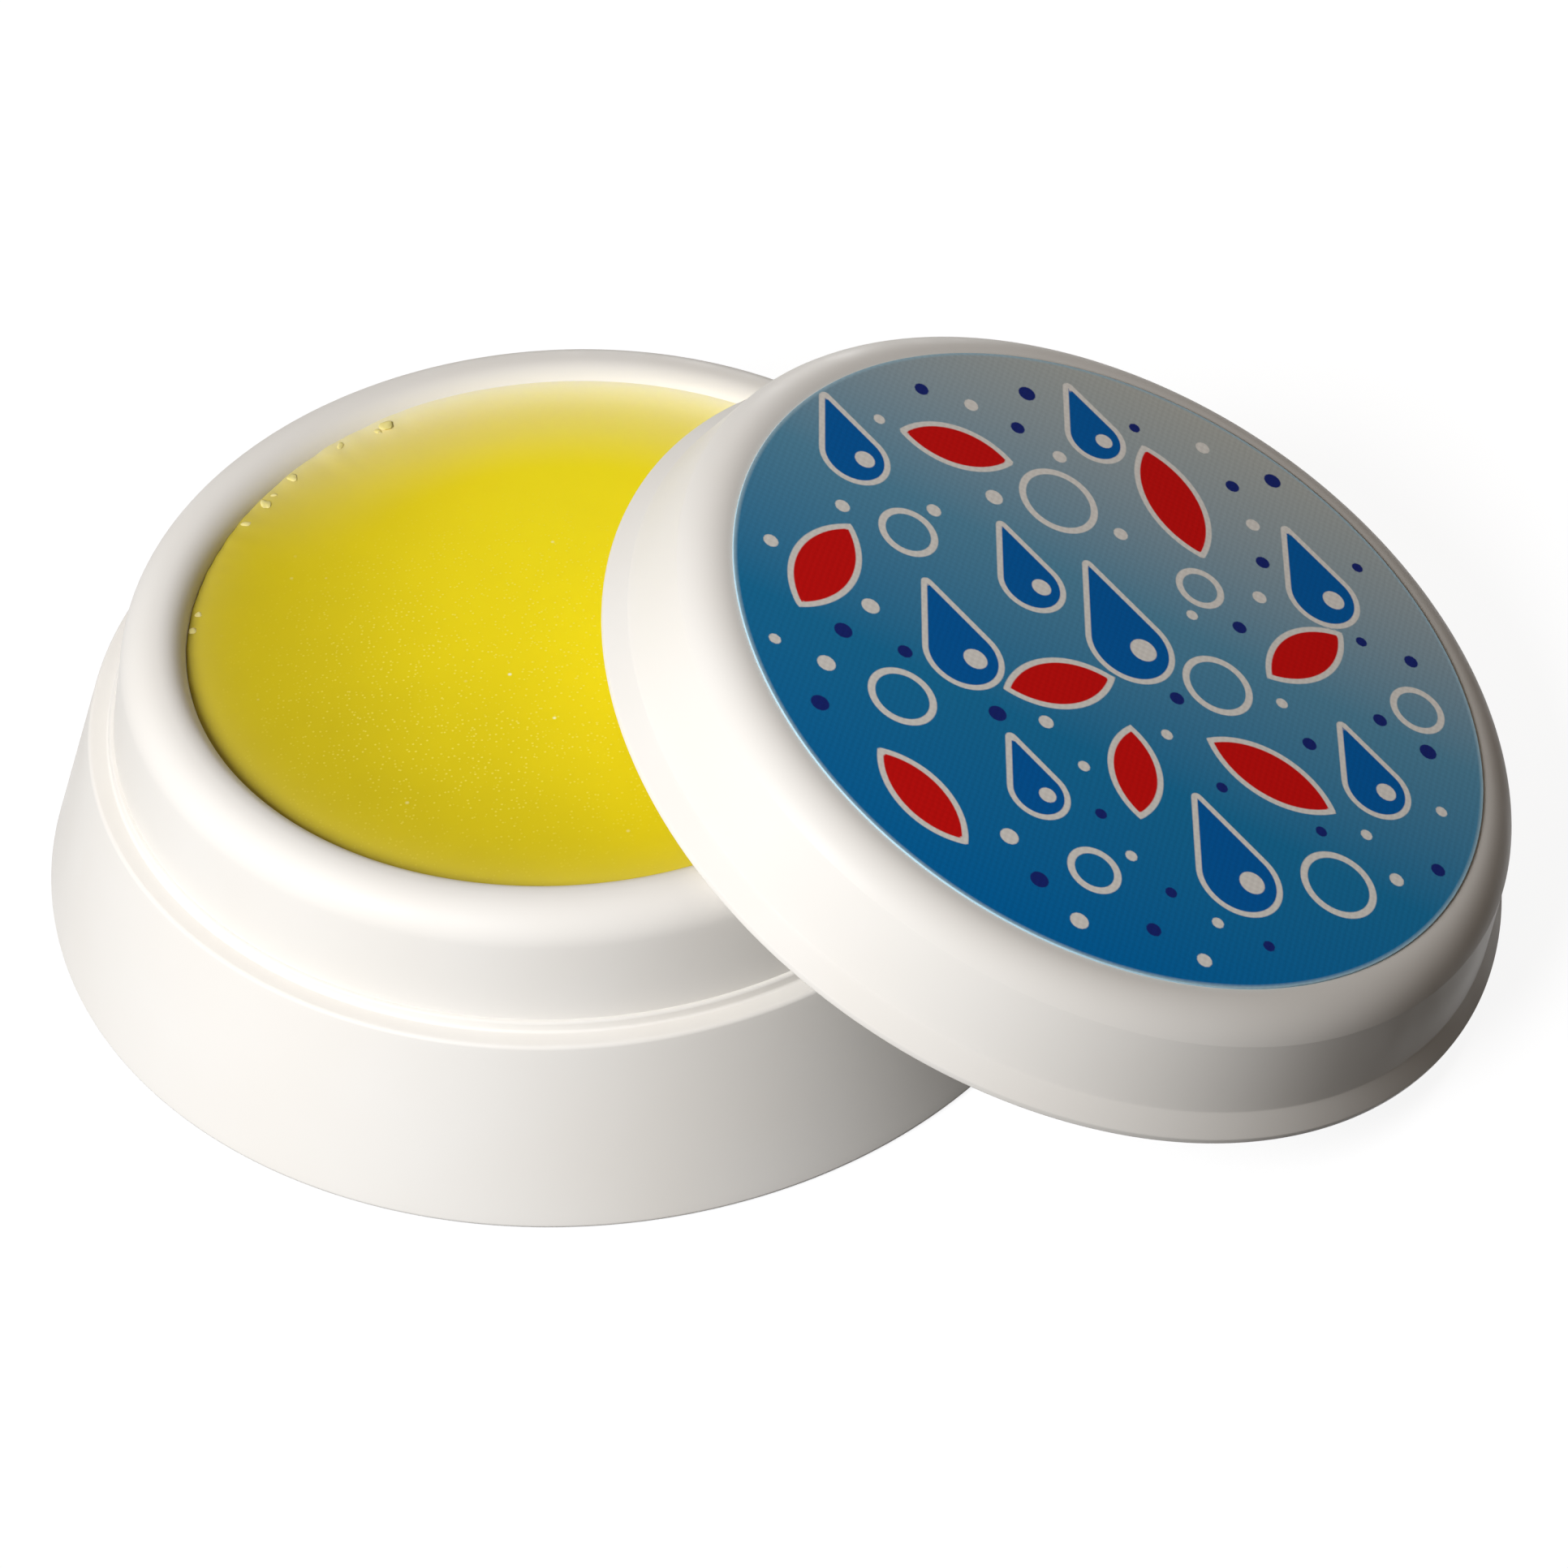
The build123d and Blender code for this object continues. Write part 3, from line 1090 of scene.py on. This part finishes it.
@dataclass
class Label:
    """Round label on the lid's top, strewn with drops, petals, bubbles and beads in the inks of its print."""

    PRINT_PLACE = "print_mm"
    CUT_EDGE = "cut_edge"
    radius: float = 31.63
    thickness: float = 0.15
    edge_rounding: float = 0.04
    cut_width: float = 0.3
    print_turn_deg: float = -4.2
    rings: int = 110
    sectors: int = 580
    figure_count: int = 25
    figure_reach: float = 27.4
    figure_turn_deg: float = 100.0
    outline_width: float = 0.5
    drop_radii: tuple[float, ...] = (3.3, 2.4, 2.9, 2.1, 3.1, 2.5, 2.8, 2.2, 2.5)
    drop_lean_deg: float = 38.0
    drop_length: float = 2.5
    gleam_share: float = 0.34
    gleam_offset: tuple[float, float] = (0.33, 0.08)
    petal_halves: tuple[float, ...] = (4.6, 4.1, 5.1, 4.5, 5.4, 4.3, 5.0, 4.4)
    petal_width: float = 0.44
    petal_turn_deg: float = 40.0
    petal_step_deg: float = 67.0
    bubble_radii: tuple[float, ...] = (2.7, 1.8, 3.1, 2.2, 2.5, 1.9, 2.9, 2.1)
    bubble_line: float = 0.6
    bead_count: int = 150
    bead_reach: float = 29.6
    bead_turn_deg: float = 20.0
    bead_radii: tuple[float, ...] = (0.75, 0.5, 0.62)
    bead_room: float = 0.9

    def outline(self) -> np.ndarray:
        """Section of the disc.

        Returns:
            Points from the middle of its back to the middle of its face.
        """
        top_radius = self.radius - 2.0 * self.edge_rounding
        sides = rounded_outline([
            Corner(0.0, 0.0),
            Corner(self.radius, 0.0),
            Corner(self.radius, self.thickness, self.edge_rounding),
            Corner(top_radius, self.thickness),
        ])
        return topped(sides, np.linspace(top_radius, 0.0, self.rings)[1:])

    def strewn(self, count: int, reach: float, first_deg: float) -> np.ndarray:
        """Even scatter on a disc: each place turns on by the golden angle, as far out as the root of its number.

        Args:
            count: Number of places.
            reach: Radius of the disc.
            first_deg: Direction of the first place.

        Returns:
            The places, one row a place.
        """
        number = np.arange(count)
        turn = math.radians(first_deg) + number * math.pi * (3.0 - math.sqrt(5.0))
        away = reach * np.sqrt((number + 0.5) / count)
        return np.column_stack([away * np.cos(turn), away * np.sin(turn)])

    def figures(self, kind: Figure) -> np.ndarray:
        """Places of one kind of figure. The kinds take turns on one scatter."""
        return self.strewn(self.figure_count, self.figure_reach, self.figure_turn_deg)[kind.value :: len(Figure)]

    def drop_bulbs(self) -> np.ndarray:
        """Centres of the drops' round ends, half the spare length below the middle of each drop."""
        lean = math.radians(self.drop_lean_deg)
        down = np.array([math.sin(lean), -math.cos(lean)])
        return self.figures(Figure.DROP) + np.outer(self.drop_radii, down) * (self.drop_length - 1.0) / 2.0

    def drops(self, place: np.ndarray) -> np.ndarray:
        """Distance outside the nearest drop, below 0 in a drop.

        A drop is a circle and the two lines that touch it from its tip. Beside the lines the distance is square
        to them, below them it is to the circle, and past the tip it is to the tip.

        Args:
            place: Places on the print.

        Returns:
            The distance for each place.
        """
        lean = math.radians(self.drop_lean_deg)
        radii = np.array(self.drop_radii)
        length = self.drop_length * radii
        apart = place[:, None] - self.drop_bulbs()
        side = np.abs(apart[..., 0] * math.cos(lean) + apart[..., 1] * math.sin(lean))
        tipward = apart[..., 1] * math.cos(lean) - apart[..., 0] * math.sin(lean)
        sine = 1.0 / self.drop_length
        cosine = math.sqrt(1.0 - sine**2)
        along = cosine * tipward - sine * side
        beside = cosine * side + sine * tipward - radii
        below = np.hypot(side, tipward) - radii
        past = np.hypot(side, tipward - length)
        return np.where(along < 0.0, below, np.where(along > cosine * length, past, beside)).min(1)

    def discs(self, place: np.ndarray, centres: np.ndarray, radii: np.ndarray) -> np.ndarray:
        """Distance outside the nearest of some discs, below 0 in a disc."""
        return (np.linalg.norm(place[:, None] - centres, axis=2) - radii).min(1)

    def gleams(self, place: np.ndarray) -> np.ndarray:
        """Distance outside the nearest gleam, a small disc on the upper right of each drop's round end."""
        radii = np.array(self.drop_radii)
        return self.discs(place, self.drop_bulbs() + np.outer(radii, self.gleam_offset), self.gleam_share * radii)

    def petals(self, place: np.ndarray) -> np.ndarray:
        """Distance outside the nearest petal, the lens that two equal circles share, below 0 in a petal.

        Args:
            place: Places on the print.

        Returns:
            The distance for each place: to the farther circle, less its radius.
        """
        centres = self.figures(Figure.PETAL)
        turn = np.radians(self.petal_turn_deg + self.petal_step_deg * np.arange(len(centres)))
        apart = place[:, None] - centres
        along = apart[..., 0] * np.cos(turn) + apart[..., 1] * np.sin(turn)
        across = np.abs(apart[..., 1] * np.cos(turn) - apart[..., 0] * np.sin(turn))
        half = np.array(self.petal_halves)
        wide = half * self.petal_width
        arc = (half**2 + wide**2) / (2.0 * wide)
        return (np.hypot(along, across + arc - wide) - arc).min(1)

    def bubbles(self, place: np.ndarray) -> np.ndarray:
        """Distance outside the nearest bubble's disc."""
        return self.discs(place, self.figures(Figure.BUBBLE), np.array(self.bubble_radii))

    def beads(self, place: np.ndarray, first: int) -> np.ndarray:
        """Distance outside the nearest bead: every other one from the first, where no figure is near.

        Args:
            place: Places on the print.
            first: Number of the first bead, 0 or 1.

        Returns:
            The distance for each place.
        """
        centres = self.strewn(self.bead_count, self.bead_reach, self.bead_turn_deg)
        radii = np.resize(self.bead_radii, len(centres))
        outlined = np.minimum(self.drops(centres), self.petals(centres)) - self.outline_width
        room = np.minimum(outlined, self.bubbles(centres))
        chosen = (room > radii + self.bead_room) & (np.arange(len(centres)) % 2 == first)
        return self.discs(place, centres[chosen], radii[chosen])

    def ink_distances(self, place: np.ndarray) -> dict[Ink, np.ndarray]:
        """Distance outside each ink's shapes, below 0 where it prints.

        Args:
            place: Places on the print, x along it and y up it.

        Returns:
            The distance for each ink and place.
        """
        drop, petal = self.drops(place), self.petals(place)
        outlined = np.minimum(drop, petal) - self.outline_width
        rings = np.abs(self.bubbles(place)) - self.bubble_line / 2.0
        return {
            Ink.WHITE: np.minimum(np.minimum(outlined, rings), self.beads(place, 0)),
            Ink.NAVY: self.beads(place, 1),
            Ink.DEEP_BLUE: np.maximum(drop, -self.gleams(place)),
            Ink.RED: petal,
        }

    def build(self, stand: Stand, finish: PrintedLabel) -> Object:
        """Build the label on the lid's top.

        Args:
            stand: Stand of the label, with its height 0 on the lid's top.
            finish: Finish of the paper and its print.

        Returns:
            The new piece.
        """
        points, faces = skinned(turned(self.outline(), self.sectors))
        piece = add_piece("label_disc", stand.place(points), faces, finish.material(), Body.LID)
        turn = math.radians(self.print_turn_deg)
        right = np.array([math.cos(turn), math.sin(turn)])
        up = np.array([-math.sin(turn), math.cos(turn)])
        place = np.column_stack([points[:, :2] @ right, points[:, :2] @ up])
        add_attribute(piece, self.PRINT_PLACE, np.column_stack([place, points[:, 2]]))
        for ink, distance in self.ink_distances(place).items():
            add_attribute(piece, ink.value, distance)
        away = np.hypot(points[:, 0], points[:, 1])
        cut = smooth_step(away, self.radius - self.cut_width, self.radius - self.edge_rounding)
        add_attribute(piece, self.CUT_EDGE, cut)
        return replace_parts(piece, "lid_label")


@dataclass(frozen=True)
class Lamp:
    """Round soft box: its direction, from the front towards the left and up, its place, width, level and colour."""

    name: str
    azimuth_deg: float
    elevation_deg: float
    distance: float
    width: float
    level: float
    colour: str = "#FFFFFF"
    aim: tuple[float, float, float] = (15.0, -5.0, 12.0)

    @property
    def toward(self) -> Vector:
        """Direction from the object's middle to the lamp."""
        azimuth, elevation = math.radians(self.azimuth_deg), math.radians(self.elevation_deg)
        level = math.cos(elevation)
        return Vector((-math.sin(azimuth) * level, -math.cos(azimuth) * level, math.sin(elevation)))

    @property
    def place(self) -> Vector:
        """Where the lamp's middle is, in metres."""
        return (Vector(self.aim) + self.toward * self.distance) * MM

    def level_on_floor(self, tree: NodeTree) -> NodeSocket:
        """Level of the lamp's light at each point of the floor, with nothing in the way.

        A lamp at height h whose axis is at an angle a to the way to the point, d off, lights the floor there by
        its level times h cos(a) / d^3, times the square of the distance at which that level holds. The way's
        part along the axis is d cos(a), so d to the power of -4 goes with it.

        Args:
            tree: The floor material's tree.

        Returns:
            The level.
        """
        point = add_node(tree, "ShaderNodeNewGeometry").outputs["Position"]
        way = add_node(tree, "ShaderNodeVectorMath", {0: self.place, 1: point}, operation="SUBTRACT").outputs["Vector"]
        along = add_node(tree, "ShaderNodeVectorMath", {0: way, 1: self.toward}, operation="DOT_PRODUCT")
        off = add_node(tree, "ShaderNodeVectorMath", {0: way}, operation="LENGTH")
        fall = add_node(tree, "ShaderNodeMath", {0: off.outputs["Value"], 1: -4.0}, operation="POWER")
        factors = {0: along.outputs["Value"], 1: fall.outputs["Value"]}
        share = add_node(tree, "ShaderNodeMath", factors, operation="MULTIPLY")
        scale = self.level * self.place.z * (self.distance * MM) ** 2
        level = add_node(tree, "ShaderNodeMath", {0: share.outputs["Value"], 1: scale}, operation="MULTIPLY")
        return level.outputs["Value"]

    def build(self) -> None:
        """Set the lamp at its distance from the object's middle.

        A disc of radius r that gives off a power p lights what faces it at a distance d by p / (pi (d^2 + r^2)),
        and a level of 1 is a light of pi, which shows a white surface there as white.
        """
        lamp = bpy.data.lights.new(self.name, "AREA")
        lamp.shape = "DISK"
        lamp.size = self.width * MM
        lamp.energy = math.pi**2 * self.level * (self.distance**2 + (self.width / 2.0) ** 2) * MM**2
        lamp.color = linear(self.colour)[:3]
        holder = bpy.data.objects.new(self.name, lamp)
        holder.location = self.place
        holder.rotation_mode = "QUATERNION"
        holder.rotation_quaternion = self.toward.to_track_quat("Z", "Y")
        bpy.context.scene.collection.objects.link(holder)


@dataclass(frozen=True)
class Studio:
    """Plain studio: one near soft box at the front left, a weak one behind, warm light from above, a white floor."""

    key: Lamp = Lamp("key_softbox", 47.0, 37.5, 487.0, 225.0, 1.155, "#FBFCFF")
    back: Lamp = Lamp("back_softbox", 186.0, 9.0, 520.0, 220.0, 0.24)
    side_level: float = 0.015
    top_level: float = 0.12
    fill_colour: str = "#FFDFC0"
    backdrop_colour: str = "#FFFFFF"
    floor_white: float = 1.01
    floor_shade: float = 0.18
    floor_bounce: float = 0.07
    floor_half: float = 2500.0
    floor_drop: float = 0.1

    def seen_share(self, tree: NodeTree) -> NodeSocket:
        """Tell the rays that see the white backdrop from those that light the object.

        Args:
            tree: Tree that gets the nodes.

        Returns:
            Factor that is 1 on camera, glossy and transmission rays.
        """
        path = add_node(tree, "ShaderNodeLightPath")
        seen = path.outputs["Is Camera Ray"]
        for kind in ("Is Glossy Ray", "Is Transmission Ray"):
            either = add_node(tree, "ShaderNodeMath", {0: seen, 1: path.outputs[kind]}, operation="MAXIMUM")
            seen = either.outputs["Value"]
        return seen

    def build_world(self) -> None:
        """Make the fill light, brightest overhead, and the white that the camera and reflections see."""
        world = bpy.data.worlds.new("studio")
        bpy.context.scene.world = world
        world.use_nodes = True
        tree = world.node_tree
        tree.nodes.clear()
        toward = add_node(tree, "ShaderNodeTexCoord").outputs["Generated"]
        parts = add_node(tree, "ShaderNodeSeparateXYZ", {"Vector": toward})
        level = add_node(
            tree,
            "ShaderNodeMapRange",
            {"Value": parts.outputs["Z"], "To Min": self.side_level, "To Max": self.top_level},
        )
        fill, white = (
            add_node(tree, "ShaderNodeBackground", {"Color": linear(code), "Strength": strength}).outputs["Background"]
            for code, strength in ((self.fill_colour, level.outputs["Result"]), (self.backdrop_colour, 1.0))
        )
        mixed = add_node(tree, "ShaderNodeMixShader", {0: self.seen_share(tree), 1: fill, 2: white})
        add_node(tree, "ShaderNodeOutputWorld", {"Surface": mixed.outputs["Shader"]})

    def build_floor(self) -> None:
        """Lay the floor: it throws little light back, takes the shadow, and glows so that the rest of it is white."""
        material, tree = new_material("white_paper_floor")
        matt, dull = (
            add_node(tree, "ShaderNodeBsdfDiffuse", {"Color": (grey, grey, grey, 1.0)}).outputs["BSDF"]
            for grey in (self.floor_shade, self.floor_bounce)
        )
        lack = add_node(
            tree,
            "ShaderNodeMath",
            {0: self.key.level_on_floor(tree), 1: -self.floor_shade, 2: self.floor_white},
            operation="MULTIPLY_ADD",
        )
        glow = add_node(
            tree,
            "ShaderNodeEmission",
            {"Color": linear(self.backdrop_colour), "Strength": lack.outputs["Value"]},
        )
        lit = add_node(tree, "ShaderNodeAddShader", {0: matt, 1: glow.outputs["Emission"]}).outputs["Shader"]
        mixed = add_node(tree, "ShaderNodeMixShader", {0: self.seen_share(tree), 1: dull, 2: lit})
        add_node(tree, "ShaderNodeOutputMaterial", {"Surface": mixed.outputs["Shader"]})
        corners = np.array([(-1.0, -1.0, 0.0), (1.0, -1.0, 0.0), (1.0, 1.0, 0.0), (-1.0, 1.0, 0.0)])
        mesh = bpy.data.meshes.new("floor")
        mesh.from_pydata((corners * self.floor_half - np.array([0.0, 0.0, self.floor_drop])) * MM, [], [[0, 1, 2, 3]])
        mesh.materials.append(material)
        floor = bpy.data.objects.new("floor", mesh)
        bpy.context.scene.collection.objects.link(floor)

    def build(self) -> None:
        """Set up the lamps, the world and the floor."""
        self.key.build()
        self.back.build()
        self.build_world()
        self.build_floor()
        bpy.context.scene.view_settings.view_transform = "Standard"


@dataclass(frozen=True)
class PhotoCamera:
    """Camera at the photograph's place: its eye, what it aims at, its roll and its focal length in pixels."""

    eye: tuple[float, float, float] = (0.0, -298.788, 288.529)
    aim: tuple[float, float, float] = (16.597, -8.118, 12.0)
    roll_deg: float = 1.583
    focal_px: float = 6299.2
    frame_px: float = 1932.0
    sensor: float = 36.0
    nearest: float = 10.0

    def build(self) -> None:
        """Make the camera and give it to the scene."""
        data = bpy.data.cameras.new("photo_camera")
        data.sensor_width = self.sensor
        data.lens = self.focal_px / self.frame_px * self.sensor
        data.clip_start = self.nearest * MM
        camera = bpy.data.objects.new("photo_camera", data)
        eye = Vector(self.eye) * MM
        level = (Vector(self.aim) * MM - eye).to_track_quat("-Z", "Y")
        camera.location = eye
        camera.rotation_mode = "QUATERNION"
        camera.rotation_quaternion = level @ Quaternion((0.0, 0.0, 1.0), -math.radians(self.roll_deg))
        bpy.context.scene.collection.objects.link(camera)
        bpy.context.scene.camera = camera


def main() -> None:
    """Build the pieces in order, then the studio and the camera."""
    logging.basicConfig(level=logging.INFO, format="%(message)s")
    dish = Dish()
    dish.build(MouldedPolystyrene("dish_polystyrene"))
    GelCake(dish).build(CastGel())
    lid = Lid(dish)
    label = Label()
    stand = lid.stand(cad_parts["lid_label"], label.thickness)
    LOG.info("lid stands at %s with its axis along %s", stand.origin.round(3), stand.axes[2].round(4))
    lid.build(stand, MouldedPolystyrene("lid_polystyrene"))
    label.build(stand.raised(lid.height), PrintedLabel())
    Studio().build()
    PhotoCamera().build()


if __name__ == "__main__":
    main()
